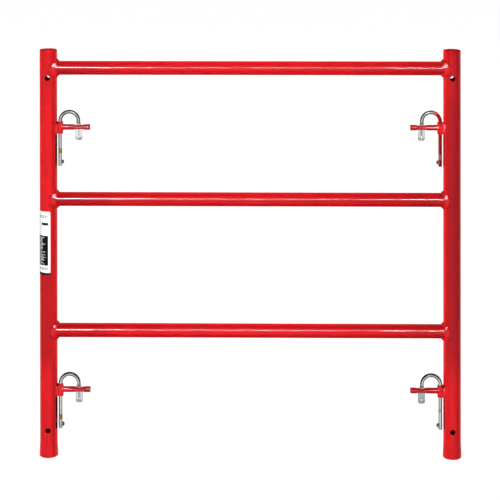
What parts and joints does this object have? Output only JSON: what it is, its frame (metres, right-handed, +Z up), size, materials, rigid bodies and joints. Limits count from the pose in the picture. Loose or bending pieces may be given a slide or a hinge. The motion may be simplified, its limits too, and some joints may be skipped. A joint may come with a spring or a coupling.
{
  "type": "scaffold end frame",
  "caption": "Welded tube scaffold end frame: open posts for coupling pins, ladder rails, and slotted brace studs locked by lift-up bent-rod hooks.",
  "frame": {"origin": "on the floor, midway between the two posts' feet", "axes": "+X along the rails to the right post, -Y the front, +Z up the posts"},
  "size_m": [1.0694, 0.047, 1.029],
  "materials": {
    "frame_paint": "glossy red enamel over steel tube, dark bare steel inside",
    "weld_paint": "glossy red enamel over rippled weld beads",
    "stud_paint": "glossy red enamel, rubbed at the slot and the end",
    "hook_zinc": "bright zinc plate with yellow-brown staining and red overspray",
    "stop_steel": "dark weld button",
    "label": null
  },
  "bodies": {
    "frame": {"left_post": "frame_paint", "right_post": "frame_paint", "top_rail": "frame_paint", "top_rail_weld_left": "weld_paint", "top_rail_weld_right": "weld_paint", "middle_rail": "frame_paint", "middle_rail_weld_left": "weld_paint", "middle_rail_weld_right": "weld_paint", "bottom_rail": "frame_paint", "bottom_rail_weld_left": "weld_paint", "bottom_rail_weld_right": "weld_paint", "label": "label", "upper_left_sleeve": "frame_paint", "upper_left_sleeve_weld_front": "weld_paint", "upper_left_sleeve_weld_back": "weld_paint", "upper_left_stud": "stud_paint", "upper_left_stud_weld": "weld_paint", "upper_right_sleeve": "frame_paint", "upper_right_sleeve_weld_front": "weld_paint", "upper_right_sleeve_weld_back": "weld_paint", "upper_right_stud": "stud_paint", "upper_right_stud_weld": "weld_paint", "lower_left_sleeve": "frame_paint", "lower_left_sleeve_weld_front": "weld_paint", "lower_left_sleeve_weld_back": "weld_paint", "lower_left_stud": "stud_paint", "lower_left_stud_weld": "weld_paint", "lower_right_sleeve": "frame_paint", "lower_right_sleeve_weld_front": "weld_paint", "lower_right_sleeve_weld_back": "weld_paint", "lower_right_stud": "stud_paint", "lower_right_stud_weld": "weld_paint"},
    "upper_left_hook": {"upper_left_hook": "hook_zinc", "upper_left_hook_stop": "stop_steel"},
    "upper_right_hook": {"upper_right_hook": "hook_zinc", "upper_right_hook_stop": "stop_steel"},
    "lower_left_hook": {"lower_left_hook": "hook_zinc", "lower_left_hook_stop": "stop_steel"},
    "lower_right_hook": {"lower_right_hook": "hook_zinc", "lower_right_hook_stop": "stop_steel"}
  },
  "joints": [
    {"name": "upper_left_hook_lift", "type": "slide", "parent": "frame", "child": "upper_left_hook", "axis": [0, 0, 1], "range_m": [0, 0.0665]},
    {"name": "upper_right_hook_lift", "type": "slide", "parent": "frame", "child": "upper_right_hook", "axis": [0, 0, 1], "range_m": [0, 0.0665]},
    {"name": "lower_left_hook_lift", "type": "slide", "parent": "frame", "child": "lower_left_hook", "axis": [0, 0, 1], "range_m": [0, 0.0665]},
    {"name": "lower_right_hook_lift", "type": "slide", "parent": "frame", "child": "lower_right_hook", "axis": [0, 0, 1], "range_m": [0, 0.0665]}
  ]
}
